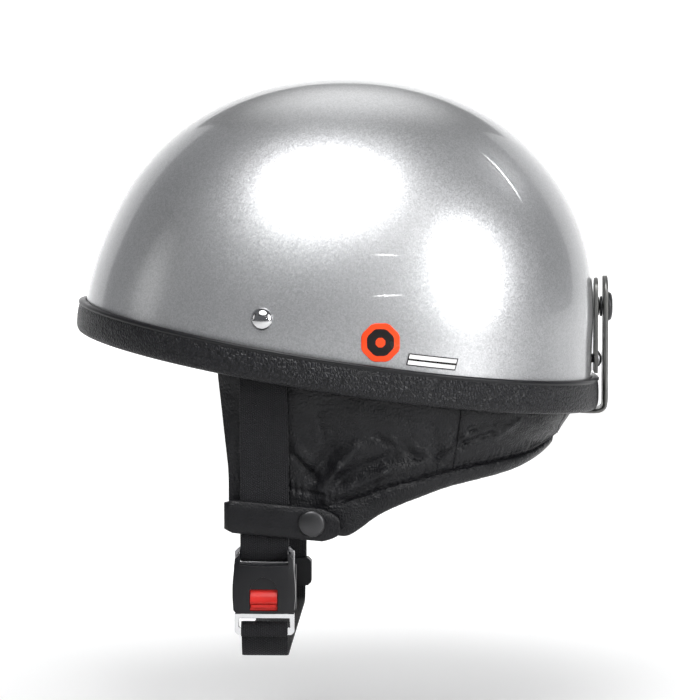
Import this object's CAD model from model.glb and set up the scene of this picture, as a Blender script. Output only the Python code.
import math

import bmesh
import bpy
from mathutils import Matrix, Vector, noise


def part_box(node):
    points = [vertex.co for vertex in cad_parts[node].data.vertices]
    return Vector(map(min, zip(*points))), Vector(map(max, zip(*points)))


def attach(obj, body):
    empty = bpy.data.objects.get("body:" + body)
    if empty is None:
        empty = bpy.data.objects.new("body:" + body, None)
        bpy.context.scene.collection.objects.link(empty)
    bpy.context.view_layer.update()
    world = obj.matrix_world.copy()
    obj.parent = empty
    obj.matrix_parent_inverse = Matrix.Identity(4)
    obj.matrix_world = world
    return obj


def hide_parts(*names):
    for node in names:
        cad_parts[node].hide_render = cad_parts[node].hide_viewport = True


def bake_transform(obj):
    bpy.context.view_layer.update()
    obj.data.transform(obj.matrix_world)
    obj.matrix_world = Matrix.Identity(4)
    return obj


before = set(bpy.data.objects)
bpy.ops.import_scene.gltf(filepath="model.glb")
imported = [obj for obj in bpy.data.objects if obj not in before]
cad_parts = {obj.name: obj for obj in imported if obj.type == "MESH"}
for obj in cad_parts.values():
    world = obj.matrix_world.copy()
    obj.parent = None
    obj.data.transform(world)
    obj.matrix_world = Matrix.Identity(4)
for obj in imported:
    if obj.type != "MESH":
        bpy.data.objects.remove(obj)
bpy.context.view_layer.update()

bl_info = {
    "name": "Half helmet maker",
    "version": (1, 0, 0),
    "blender": (4, 5, 0),
    "location": "3D View > Sidebar > Helmet",
    "description": "Builds a silver half helmet with a leather neck apron",
    "category": "Object",
}

MM = 0.001
SHELL_LOW, SHELL_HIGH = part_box("outer_shell")


# ------------------------------------------------------------------ settings
def length(name, text, default):
    return bpy.props.FloatProperty(name=name, description=text, default=default,
                                   subtype="DISTANCE", unit="LENGTH", precision=4)


def colour(name, text, default):
    return bpy.props.FloatVectorProperty(name=name, description=text, default=default,
                                         subtype="COLOR", size=3, min=0, max=1)


class HelmetSizes(bpy.types.PropertyGroup):
    """Sizes of the helmet's form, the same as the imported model's."""
    half_width: length("Half width", "Middle to the side of the shell", SHELL_HIGH.x)
    half_length: length("Half length", "Middle to the brow of the shell",
                        (SHELL_HIGH.y - SHELL_LOW.y) / 2)
    crown_top: length("Crown", "Top of the shell above the rim's centre", SHELL_HIGH.z)
    spring: length("Spring", "Height where the wall turns vertical", 15 * MM)
    crown_shift: length("Crown shift", "How far the crown sits back", 4.3 * MM)
    shell_wall: length("Shell wall", "Thickness of the laminate", 3.5 * MM)
    rim_tilt: bpy.props.FloatProperty(name="Rim tilt", description="Brow above nape",
                                      default=math.radians(8.7), subtype="ANGLE")
    rim_dip: length("Rim dip", "How much lower the rim is over the ears", 3.5 * MM)
    trim_height: length("Trim height", "Height of the rubber edging", 17.4 * MM)
    apron_inset: length("Apron inset", "Shell face to the leather's face", 10.8 * MM)
    leather: length("Leather", "Thickness of the apron", 3 * MM)
    webbing_width: length("Webbing width", "Width of the chin webbing", 25 * MM)
    webbing: length("Webbing", "Thickness of the chin webbing", 1.6 * MM)


class HelmetColours(bpy.types.PropertyGroup):
    """Colours of the helmet's finishes."""
    silver: colour("Silver", "Lacquer flakes", (0.47, 0.475, 0.485))
    rubber: colour("Rubber", "Edge trim", (0.0052, 0.0053, 0.0066))
    leather: colour("Leather", "Apron and keepers", (0.0036, 0.0037, 0.0050))
    webbing: colour("Webbing", "Chin strap yarn", (0.0042, 0.0043, 0.0055))
    plastic: colour("Plastic", "Buckle and adjuster", (0.0050, 0.0051, 0.0064))
    button: colour("Button", "Release button", (0.46, 0.011, 0.007))
    sticker: colour("Sticker", "Ring of the round sticker", (0.80, 0.060, 0.014))
    lining: colour("Lining", "Knitted lining", (0.016, 0.016, 0.018))


def sizes():
    return bpy.context.scene.helmet_sizes


def colours():
    return bpy.context.scene.helmet_colours


# ------------------------------------------------------------------ the helmet's form
def clamp(value, low=0.0, high=1.0):
    return max(low, min(high, value))


def lerp(a, b, t):
    return a + (b - a) * t


def smoothstep(value, low, high):
    t = clamp((value - low) / (high - low))
    return t * t * (3 - 2 * t)


def rim_z(phi):
    """Height of the rim at an angle round the helmet, from the wearer's left."""
    s = sizes()
    return -math.tan(s.rim_tilt) * s.half_length * math.sin(phi) - s.rim_dip * math.cos(phi) ** 2


def wall(phi, inset, z):
    """A point on the shell's outer face moved inwards by inset, at height z."""
    s = sizes()
    t = clamp((z - s.spring) / (s.crown_top - s.spring - inset))
    spread = math.sqrt(1 - t * t) * (1 + 0.1 * t ** 3) * (1 + 0.012 * math.sin(2 * phi) ** 2)
    centre = s.crown_shift * smoothstep(z, -5 * MM, 85 * MM)
    return Vector(((s.half_width - inset) * spread * math.cos(phi),
                   centre + (s.half_length - inset) * spread * math.sin(phi), z))


def wall_normal(phi, z):
    """The way out of the shell's outer face."""
    along = wall(phi + 0.01, 0, z) - wall(phi - 0.01, 0, z)
    up = wall(phi, 0, z + MM) - wall(phi, 0, z - MM)
    return along.cross(up).normalized()


def phi_at_y(y, inset, z):
    """The angle on the left side where the wall passes y."""
    s = sizes()
    centre = s.crown_shift * smoothstep(z, -5 * MM, 85 * MM)
    return math.asin(clamp((y - centre) / (s.half_length - inset), -1, 1))


# Height of the apron's bottom edge and of its roll, in millimetres, by angle in degrees.
EDGE = [(-27, -80), (-15, -84), (-4, -88.5), (3.5, -90), (13, -78), (21.4, -70.5),
        (32.6, -63.5), (54.8, -57.5), (74.8, -52.5), (90, -51)]
ROLL = [(-2, 22), (4, 20), (10, 16), (18, 12.5), (32, 9.5), (45, 8.5), (60, 7), (90, 6.5)]
EAR_FRONT, EAR_REAR, NAPE_REAR = math.radians(-27), math.radians(31.5), math.radians(75)
ROLL_START = math.radians(4.2)
PAD_START = math.radians(-1.5)
APRON_HANG = 52 * MM


def through(knots, value):
    """A smooth curve through a short list of knots."""
    x = clamp(value, knots[0][0], knots[-1][0])
    k = next((i for i in range(1, len(knots)) if knots[i][0] >= x), len(knots) - 1)

    def slope(i):
        left, right = knots[max(i - 1, 0)], knots[min(i + 1, len(knots) - 1)]
        return (right[1] - left[1]) / (right[0] - left[0])

    (x0, y0), (x1, y1) = knots[k - 1], knots[k]
    span, t = x1 - x0, (x - x0) / (x1 - x0)
    return (y0 * (1 + 2 * t) * (1 - t) ** 2 + slope(k - 1) * span * t * (1 - t) ** 2
            + y1 * t * t * (3 - 2 * t) + slope(k) * span * t * t * (t - 1))


def side_angle(phi):
    return math.pi - phi if phi > math.pi / 2 else phi


def apron_bottom(phi):
    return through(EDGE, math.degrees(side_angle(phi))) * MM


def roll_tall(phi):
    return through(ROLL, math.degrees(side_angle(phi))) * MM


def apron(phi, inward, z):
    """A point on the apron, a depth inside the leather's outer face."""
    s = sizes()
    side = side_angle(phi)
    inset = s.apron_inset + inward
    face = wall(phi, inset, min(z, s.spring))
    depth = rim_z(phi) - s.trim_height / 2 - z
    below = APRON_HANG - math.log1p(math.exp((APRON_HANG - depth) / (3 * MM))) * 3 * MM
    below = max(below, 0)
    taper = 0.25 + 0.68 * math.sin(max(side, 0)) ** 6
    drawn = taper * (below - 4 * MM * (1 - math.exp(-below / (4 * MM))))
    face.x -= drawn * math.cos(phi)
    face.y -= drawn * math.sin(phi)
    flat = (smoothstep(below, 8 * MM, APRON_HANG)
            * (1 - smoothstep(side, math.radians(10), math.radians(34))))
    flat_x = s.half_width - inset - drawn
    face.x = lerp(face.x, math.copysign(flat_x, math.cos(phi)), flat)
    face.z = z
    return face


# ------------------------------------------------------------------ mesh making
def link(name, data):
    """Puts a mesh, light or camera in the scene as an object."""
    made = bpy.data.objects.new(name, data)
    bpy.context.scene.collection.objects.link(made)
    return made


def mesh_of(name, bm, smooth=True):
    mesh = bpy.data.meshes.new(name)
    bm.to_mesh(mesh)
    bm.free()
    for face in mesh.polygons:
        face.use_smooth = smooth
    return mesh


def finish_piece(bm, name, material, body, *nodes, slot=None, turn=True):
    """Makes a piece that rides on a body and stands for CAD nodes.

    Its slot is that of its material, or of the first in a list, unless another is given."""
    if turn:
        bmesh.ops.recalc_face_normals(bm, faces=bm.faces[:])
    mesh = mesh_of(name, bm)
    entries = material if isinstance(material, list) else [material]
    for entry in entries:
        mesh.materials.append(finish_of(entry))
    piece = link(name, mesh)
    if body:
        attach(piece, body)
    if nodes:
        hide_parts(*nodes)
    slot or entries[0]
    return piece


def rounded_piece(node, name, material, body, edge, slot=None):
    """A piece that is its CAD node's shape with rounded edges."""
    piece = finish_piece(rounded_copy(node, edge), name, material, body, node, slot=slot)
    shade_by_angle(piece)


def refinish(node, material):
    """Gives a kept CAD node its finish."""
    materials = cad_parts[node].data.materials
    materials.clear()
    materials.append(finish_of(material))


def middle_of(node):
    low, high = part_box(node)
    return (low + high) / 2


def capped(bm, around, dist=1e-7):
    """Joins the seam of a swept tube and closes its ends."""
    bmesh.ops.remove_doubles(bm, verts=bm.verts[:], dist=dist)
    bmesh.ops.holes_fill(bm, edges=[e for e in bm.edges if e.is_boundary], sides=around + 2)
    return bm


def across_route(route):
    """The direction across a flat route at each of its points."""
    last = len(route) - 1
    ways = []
    for i in range(last + 1):
        ahead = route[min(i + 1, last)] - route[max(i - 1, 0)]
        ways.append(Vector((ahead.y, -ahead.x)).normalized())
    return ways


def squircle(angle, power):
    """A point on a squared-off circle of radius 1."""
    return [math.copysign(abs(way) ** power, way) for way in (math.cos(angle), math.sin(angle))]


def grid(columns, rows, place, size=None):
    """A sheet of quads placed by a function of (u, v), with its UV map in metres."""
    bm = bmesh.new()
    bmesh.ops.create_grid(bm, x_segments=columns, y_segments=rows, size=0.5, calc_uvs=True)
    layer = bm.loops.layers.uv.verify()
    width, height = size or (1.0, 1.0)
    for face in bm.faces:
        for loop in face.loops:
            co = loop.vert.co
            loop[layer].uv = ((co.x + 0.5) * width, (co.y + 0.5) * height)
    for vert in bm.verts:
        vert.co = place(vert.co.x + 0.5, vert.co.y + 0.5)
    return bm


def hoop(section, columns=240):
    """A closed band round the helmet from a list of (inset, lift) section points."""
    count = len(section)

    def place(u, v):
        inset, lift = section[round(v * count) % count]
        phi = u * math.tau
        return wall(phi, inset, rim_z(phi) + lift)

    bm = grid(columns, count, place)
    bmesh.ops.remove_doubles(bm, verts=bm.verts[:], dist=1e-6)
    return bm


def half_ball(cuts):
    """The upper half of a ball of radius 1, in even quads without poles."""
    bm = bmesh.new()
    bmesh.ops.create_cube(bm, size=2)
    bmesh.ops.subdivide_edges(bm, edges=bm.edges[:], cuts=cuts, use_grid_fill=True)
    bmesh.ops.bisect_plane(bm, geom=bm.verts[:] + bm.edges[:] + bm.faces[:], dist=1e-6,
                           plane_co=(0, 0, 0), plane_no=(0, 0, 1), clear_inner=True)
    for vert in bm.verts:
        vert.co = vert.co.normalized()
    return bm


def drape(verts, point):
    """Moves a half ball's points to a dome given by (phi, height share)."""
    for vert in verts:
        way = vert.co
        vert.co = point(math.atan2(way.y, way.x), max(way.z, 0.0))


def dome_point(inset, foot):
    """The dome's surface at an inset, down to a height above the rim."""
    s = sizes()

    def point(phi, share):
        low = rim_z(phi) + foot
        z = low + (s.crown_top - inset - low) * share
        return wall(phi, inset, z)

    return point


def double_dome(outer, inner, cuts):
    """Two domes joined along their rims."""
    bm = half_ball(cuts)
    first = bm.verts[:]
    copied = bmesh.ops.duplicate(bm, geom=first + bm.edges[:] + bm.faces[:])["geom"]
    drape(first, outer)
    drape([item for item in copied if isinstance(item, bmesh.types.BMVert)], inner)
    bmesh.ops.bridge_loops(bm, edges=[e for e in bm.edges if e.is_boundary])
    return bm


def turned(profile):
    """A piece turned about +Z from (radius, height) points in millimetres."""
    bm = bmesh.new()
    verts = [bm.verts.new((radius * MM, 0, height * MM)) for radius, height in profile]
    for a, b in zip(verts, verts[1:]):
        bm.edges.new((a, b))
    bmesh.ops.spin(bm, geom=bm.verts[:] + bm.edges[:], cent=(0, 0, 0), axis=(0, 0, 1),
                   angle=math.tau, steps=48, use_merge=True)
    bmesh.ops.remove_doubles(bm, verts=bm.verts[:], dist=1e-6)
    return bm


def aim(bm, place, way):
    """Turns a piece made about +Z to a direction and moves it."""
    turn = Vector((0, 0, 1)).rotation_difference(Vector(way)).to_matrix()
    bmesh.ops.rotate(bm, cent=(0, 0, 0), matrix=turn, verts=bm.verts[:])
    bmesh.ops.translate(bm, vec=place, verts=bm.verts[:])
    return bm


def rounded_copy(node, offset, segments=3):
    """A CAD node's shape with its flat faces cleaned and its edges rounded."""
    bm = bmesh.new()
    bm.from_mesh(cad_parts[node].data)
    bmesh.ops.remove_doubles(bm, verts=bm.verts[:], dist=2e-6)
    bmesh.ops.dissolve_limit(bm, angle_limit=math.radians(2), verts=bm.verts[:],
                             edges=bm.edges[:])
    sharp = [e for e in bm.edges if len(e.link_faces) == 2
             and e.calc_face_angle(0) > math.radians(28)]
    bmesh.ops.bevel(bm, geom=sharp, offset=offset, segments=segments, profile=0.5,
                    affect="EDGES", material=-1, clamp_overlap=True)
    return bm


def shade_by_angle(piece):
    """Keeps flat faces flat between rounded edges."""
    modifier = piece.modifiers.new("Weighted normals", "WEIGHTED_NORMAL")
    modifier.keep_sharp = True
    piece.data.set_sharp_from_angle(angle=math.radians(35))


def solidify(piece, thickness):
    """Gives a sheet its thickness, inwards from its face."""
    modifier = piece.modifiers.new("Thickness", "SOLIDIFY")
    modifier.thickness = thickness
    modifier.offset = -1.0
    modifier.use_even_offset = True


def soften(piece, levels=1):
    modifier = piece.modifiers.new("Smooth", "SUBSURF")
    modifier.levels = modifier.render_levels = levels


def apply_modifiers(piece):
    """Writes the piece's modifiers into its mesh."""
    graph = bpy.context.evaluated_depsgraph_get()
    result = bpy.data.meshes.new_from_object(piece.evaluated_get(graph))
    piece.modifiers.clear()
    piece.data = result


# ------------------------------------------------------------------ shader nodes
class Tree:
    """Adds joined nodes to one node tree."""

    def __init__(self, tree):
        self.tree = tree

    def add(self, kind, inputs=None, **settings):
        node = self.tree.nodes.new(f"ShaderNode{kind}")
        for key, value in settings.items():
            setattr(node, key, value)
        for key, value in (inputs or {}).items():
            if isinstance(value, bpy.types.NodeSocket):
                self.tree.links.new(value, node.inputs[key])
            else:
                node.inputs[key].default_value = value
        return node

    def place(self):
        """Where a point lies in the object's own frame."""
        return self.add("TexCoord").outputs["Object"]

    def use(self, shared, **inputs):
        """The outputs of a shared group placed with its own values."""
        return self.add("Group", inputs, node_tree=shared()).outputs

    def vector(self, operation, a, b):
        return self.add("VectorMath", {0: a, 1: b}, operation=operation).outputs[0]

    def math(self, operation, a, b=0.0):
        return self.add("Math", {0: a, 1: b}, operation=operation).outputs[0]

    def mix(self, factor, a, b):
        node = self.add("Mix", data_type="RGBA")
        for key, value in ((0, factor), (6, a), (7, b)):
            if isinstance(value, bpy.types.NodeSocket):
                self.tree.links.new(value, node.inputs[key])
            else:
                node.inputs[key].default_value = value
        return node.outputs[2]

    def span(self, value, low, high, out_low, out_high):
        return self.add("MapRange", {"Value": value, "From Min": low, "From Max": high,
                                               "To Min": out_low, "To Max": out_high}).outputs[0]


def group(name, inputs, outputs, build):
    """A shader node group, built once."""
    made = bpy.data.node_groups.get(name)
    if made:
        return made
    made = bpy.data.node_groups.new(name, "ShaderNodeTree")
    for label, default in inputs:
        socket = made.interface.new_socket(label, in_out="INPUT", socket_type="NodeSocketFloat")
        socket.default_value = default
    for label, kind in outputs:
        made.interface.new_socket(label, in_out="OUTPUT", socket_type=kind)
    tree = Tree(made)
    source = made.nodes.new("NodeGroupInput")
    sink = made.nodes.new("NodeGroupOutput")
    for label, value in build(tree, source.outputs).items():
        made.links.new(value, sink.inputs[label])
    return made


def leather_grain():
    """Pebbled hide: cells, fine pores and long soft creases."""
    def build(t, given):
        place = t.place()
        warp = t.add("TexNoise", {"Vector": place, "Scale": 160.0, "Detail": 2.0})
        pushed = t.vector("MULTIPLY", warp.outputs["Color"], (0.0016,) * 3)
        moved = t.vector("ADD", place, pushed)
        tall = t.add("Mapping", {"Vector": moved, "Scale": (1.0, 1.0, 0.7)}).outputs[0]
        cells = t.add("TexVoronoi", {"Vector": tall, "Scale": given["Scale"],
                                               "Randomness": 0.9},
                      feature="DISTANCE_TO_EDGE").outputs["Distance"]
        valley = t.span(cells, 0.0, 0.3, 0.0, 1.0)
        stretched = t.add("Mapping", {"Vector": moved, "Scale": (1.0, 1.0, 2.6)})
        crease = t.add("TexNoise", {"Vector": stretched.outputs[0], "Scale": 110.0,
                                              "Detail": 4.0, "Roughness": 0.6}).outputs["Fac"]
        line = t.math("ABSOLUTE", t.math("SUBTRACT", crease, 0.5))
        fold = t.span(line, 0.0, 0.07, 0.0, 1.0)
        patch = t.add("TexNoise", {"Vector": place, "Scale": 42.0}).outputs["Fac"]
        worn = t.math("MULTIPLY", t.span(patch, 0.45, 0.6, 0.15, 1.0), given["Creases"])
        height = t.math("ADD", t.math("MULTIPLY", valley, given["Pebble"]),
                        t.math("MULTIPLY", fold, worn))
        return {"Height": height, "Mask": valley, "Fold": fold}

    return group("Leather grain", [("Scale", 600.0), ("Pebble", 0.4), ("Creases", 0.5)],
                 [("Height", "NodeSocketFloat"), ("Mask", "NodeSocketFloat"),
                  ("Fold", "NodeSocketFloat")], build)


def weave():
    """Narrow webbing: ribs along the strap crossed by fine picks, from the UV map."""
    def build(t, given):
        uv = t.add("SeparateXYZ", {0: t.add("UVMap").outputs[0]}).outputs
        across = t.math("MULTIPLY", uv[0], given["Ends"])
        along = t.math("MULTIPLY", uv[1], given["Picks"])
        offset = t.math("MULTIPLY", t.math("FLOOR", across), 0.5)
        rib = t.math("ABSOLUTE", t.math("SINE", t.math("MULTIPLY", across, math.pi)))
        pick = t.math("ABSOLUTE", t.math("SINE", t.math("MULTIPLY",
                                                        t.math("ADD", along, offset), math.pi)))
        height = t.math("MULTIPLY", t.math("POWER", rib, 0.6), t.math("POWER", pick, 0.5))
        place = t.place()
        fuzz = t.add("TexNoise", {"Vector": place, "Scale": 3500.0}).outputs["Fac"]
        return {"Height": t.math("ADD", height, t.math("MULTIPLY", fuzz, 0.35)), "Mask": height}

    return group("Weave", [("Ends", 900.0), ("Picks", 800.0)],
                 [("Height", "NodeSocketFloat"), ("Mask", "NodeSocketFloat")], build)


def handling():
    """Slow cloudy variation and fine speckle that breaks up a finish."""
    def build(t, given):
        place = t.place()
        cloud = t.add("TexNoise", {"Vector": place, "Scale": given["Scale"],
                                             "Detail": 4.0}).outputs["Fac"]
        speck = t.add("TexNoise", {"Vector": place, "Scale": 1800.0,
                                             "Detail": 1.0}).outputs["Fac"]
        return {"Cloud": t.span(cloud, 0.3, 0.7, 0.0, 1.0), "Speck": speck}

    return group("Handling", [("Scale", 30.0)],
                 [("Cloud", "NodeSocketFloat"), ("Speck", "NodeSocketFloat")], build)


def flakes():
    """Metal flakes under the lacquer: each cell leans its own way."""
    def build(t, given):
        place = t.place()
        cells = t.add("TexVoronoi", {"Vector": place, "Scale": given["Scale"]})
        lean = t.vector("SUBTRACT", cells.outputs["Color"], (0.5, 0.5, 0.5))
        small = t.add("VectorMath", {0: lean, "Scale": given["Lean"]},
                      operation="SCALE").outputs[0]
        normal = t.add("NewGeometry").outputs["Normal"]
        tipped = t.vector("ADD", normal, small)
        unit = t.add("VectorMath", {0: tipped}, operation="NORMALIZE").outputs[0]
        shade = t.add("SeparateColor", {0: cells.outputs["Color"]}).outputs[0]
        return {"Normal": unit, "Shade": shade}

    return group("Flakes", [("Scale", 1500.0), ("Lean", 0.06)],
                 [("Normal", "NodeSocketVector"), ("Shade", "NodeSocketFloat")], build)


class Finish(Tree):
    """A new material, its Principled shader and the plain values set on it."""

    def __init__(self, name, **plain):
        self.made = bpy.data.materials.new(name)
        self.made.use_nodes = True
        super().__init__(self.made.node_tree)
        self.shader = self.tree.nodes["Principled BSDF"]
        for key, value in plain.items():
            self.shader.inputs[key.replace("_", " ")].default_value = value

    def drive(self, socket, value):
        self.tree.links.new(value, self.shader.inputs[socket])

    def bump(self, height, distance):
        node = self.add("Bump", {"Height": height, "Distance": distance, "Strength": 1.0})
        self.drive("Normal", node.outputs[0])


def tint(value, factor=1.0):
    return (*[channel * factor for channel in value], 1.0)


def make_silver():
    t = Finish("silver_lacquer", Metallic=0.82, Coat_Weight=1.0,
                                 Coat_Roughness=0.025, Coat_IOR=1.5)
    base = colours().silver
    flake = t.use(flakes)
    cloud = t.use(handling, Scale=18.0)["Cloud"]
    fleck = t.mix(flake["Shade"], tint(base, 0.86), tint(base, 1.12))
    t.drive("Base Color", t.mix(t.math("MULTIPLY", cloud, 0.12), fleck, tint(base, 0.9)))
    t.drive("Roughness", t.span(cloud, 0.0, 1.0, 0.36, 0.40))
    t.drive("Normal", flake["Normal"])
    return t.made


def make_rubber():
    t = Finish("black_rubber", Specular_IOR_Level=0.3)
    base = colours().rubber
    grain = t.use(leather_grain, Scale=640.0, Pebble=1.0, Creases=0.1)
    cloud = t.use(handling, Scale=45.0)["Cloud"]
    t.drive("Base Color", t.mix(grain["Mask"], tint(base, 0.4), tint(base, 2.2)))
    t.drive("Roughness", t.span(cloud, 0.0, 1.0, 0.34, 0.44))
    t.bump(grain["Height"], 0.0003)
    return t.made


def make_leather(name="black_leather", scale=640.0, pebble=0.45, creases=0.5, gloss=0.0):
    t = Finish(name, Specular_IOR_Level=0.28)
    base = colours().leather
    grain = t.use(leather_grain, Scale=scale, Pebble=pebble, Creases=creases)
    cloud = t.use(handling, Scale=38.0)["Cloud"]
    worn = t.mix(t.math("MULTIPLY", grain["Fold"], 0.6), tint(base, 0.5), tint(base, 1.1))
    t.drive("Base Color", t.mix(t.math("MULTIPLY", cloud, 0.5), worn, tint(base, 1.4)))
    rough = t.span(grain["Mask"], 0.0, 1.0, 0.44, 0.30 - gloss)
    t.drive("Roughness", t.math("ADD", rough, t.math("MULTIPLY", cloud, 0.06)))
    t.bump(grain["Height"], 0.0004)
    return t.made


def make_webbing():
    t = Finish("black_webbing", Sheen_Weight=0.06, Sheen_Roughness=0.5,
                                 Specular_IOR_Level=0.25)
    base = colours().webbing
    yarn = t.use(weave)
    t.drive("Base Color", t.mix(yarn["Mask"], tint(base, 0.35), tint(base, 1.9)))
    t.drive("Roughness", t.span(yarn["Mask"], 0.0, 1.0, 0.9, 0.62))
    t.bump(yarn["Height"], 0.0003)
    return t.made


def make_plastic(name, base, rough, depth=0.00003):
    t = Finish(name, Specular_IOR_Level=0.33)
    mark = t.use(handling, Scale=60.0)
    t.drive("Base Color", t.mix(mark["Cloud"], tint(base, 0.85), tint(base, 1.2)))
    t.drive("Roughness", t.span(mark["Cloud"], 0.0, 1.0, rough - 0.05, rough + 0.07))
    t.bump(mark["Speck"], depth)
    return t.made


def make_metal(name, base, rough, metallic=1.0, depth=0.00001):
    t = Finish(name, Metallic=metallic)
    mark = t.use(handling, Scale=90.0)
    t.drive("Base Color", t.mix(mark["Cloud"], tint(base, 0.88), tint(base, 1.08)))
    t.drive("Roughness", t.span(mark["Cloud"], 0.0, 1.0, rough, rough + 0.08))
    t.bump(mark["Speck"], depth)
    return t.made


def make_knit():
    t = Finish("black_fabric", Sheen_Weight=0.4, Sheen_Roughness=0.6,
                                 Specular_IOR_Level=0.2)
    base = colours().lining
    place = t.place()
    loops = t.add("TexVoronoi", {"Vector": place, "Scale": 750.0,
                                           "Randomness": 0.35}).outputs["Distance"]
    cloud = t.use(handling, Scale=40.0)["Cloud"]
    t.drive("Base Color", t.mix(loops, tint(base, 1.6), tint(base, 0.5)))
    t.drive("Roughness", t.span(cloud, 0.0, 1.0, 0.86, 0.97))
    t.bump(t.math("SUBTRACT", 1.0, loops), 0.0004)
    return t.made


def make_foam():
    t = Finish("foam", Specular_IOR_Level=0.25)
    place = t.place()
    beads = t.add("TexVoronoi", {"Vector": place, "Scale": 320.0},
                  feature="DISTANCE_TO_EDGE").outputs["Distance"]
    edge = t.span(beads, 0.0, 0.12, 0.0, 1.0)
    t.drive("Base Color", t.mix(edge, (0.008, 0.008, 0.009, 1), (0.030, 0.030, 0.032, 1)))
    t.drive("Roughness", t.span(edge, 0.0, 1.0, 0.95, 0.75))
    t.bump(edge, 0.0004)
    return t.made


MAKERS = {
    "silver_lacquer": make_silver,
    "black_rubber": make_rubber,
    "rubber_lip": lambda: make_plastic("rubber_lip", colours().rubber, 0.36),
    "black_leather": make_leather,
    "keeper_leather": lambda: make_leather("keeper_leather", 700.0, 0.3, 0.1, -0.06),
    "black_webbing": make_webbing,
    "black_plastic": lambda: make_plastic("black_plastic", colours().plastic, 0.38),
    "red_plastic": lambda: make_plastic("red_plastic", colours().button, 0.34, 0.00003),
    "orange_film": lambda: make_plastic("orange_film", colours().sticker, 0.22, 0.00001),
    "black_film": lambda: make_plastic("black_film", (0.012, 0.010, 0.010), 0.22, 0.00001),
    "white_film": lambda: make_plastic("white_film", (0.72, 0.72, 0.72), 0.24, 0.00001),
    "black_fabric": make_knit,
    "foam": make_foam,
    "chrome": lambda: make_metal("chrome", (0.62, 0.62, 0.63), 0.07),
    "steel": lambda: make_metal("steel", (0.40, 0.40, 0.41), 0.24, depth=0.00003),
    "black_metal": lambda: make_metal("black_metal", (0.05, 0.05, 0.052), 0.30, 0.75, 0.00003),
    "gunmetal": lambda: make_metal("gunmetal", (0.16, 0.16, 0.155), 0.34, 0.9, 0.00004),
    "thread": lambda: make_plastic("thread", (0.010, 0.010, 0.011), 0.55, 0.00008),
}


def finish_of(name):
    """The finish of that name, made at its first use."""
    made = bpy.data.materials.get(f"{name}_finish")
    if not made:
        made = MAKERS[name]()
        made.name = f"{name}_finish"
    return made


# ------------------------------------------------------------------ shell and trim
class HELMET_OT_shell(bpy.types.Operator):
    """Makes the silver lacquered shell"""
    bl_idname = "helmet.shell"
    bl_label = "Shell"

    def execute(self, context):
        s = sizes()
        edge = -(s.trim_height / 2 - 3.3 * MM)
        bm = half_ball(79)
        drape(bm.verts, dome_point(0, edge))
        shell = finish_piece(bm, "shell", "silver_lacquer", "helmet", "outer_shell")
        solidify(shell, s.shell_wall)
        return {"FINISHED"}


class HELMET_OT_trim(bpy.types.Operator):
    """Makes the grained rubber edging with its raised lip"""
    bl_idname = "helmet.trim"
    bl_label = "Edge trim"

    def execute(self, context):
        h = sizes().trim_height / 2 / MM
        outline = [(-0.4, h - 0.3), (-1.4, h), (-2.9, h), (-3.7, h - 0.35), (-4.05, h - 1.0),
                   (-3.95, h - 1.7), (-3.35, h - 2.1), (-3.25, h - 2.5), (-3.5, h - 3.1),
                   (-3.75, h - 5), (-3.9, 0), (-3.8, -h + 4.5), (-3.45, -h + 2.4),
                   (-2.7, -h + 0.9), (-1.6, -h + 0.2), (-0.2, -h), (2.2, -h), (4.4, -h + 0.1),
                   (5.6, -h + 0.8), (6.0, -h + 2.0), (6.05, 0), (6.0, h - 5.2), (5.0, h - 4.2),
                   (4.0, h - 4.4), (3.9, -h + 3.0), (-0.4, -h + 3.0)]
        bm = hoop([(a * MM, b * MM) for a, b in outline])
        s = sizes()
        for face in bm.faces:
            middle = face.calc_center_median()
            phi = math.atan2(middle.y / s.half_length, middle.x / s.half_width)
            face.material_index = int(middle.z - rim_z(phi) > (h - 2.5) * MM)
        finish_piece(bm, "rim_trim", ["black_rubber", "rubber_lip"], "helmet", "edge_trim")
        return {"FINISHED"}


# ------------------------------------------------------------------ liners
FOAM_OUTER, FOAM_INNER = 4.3 * MM, 26.3 * MM
LINING_OUTER, LINING_WALL = 26.9 * MM, 7 * MM
SWEATBAND = 20 * MM
FOAM_LOW = -2 * MM


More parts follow.
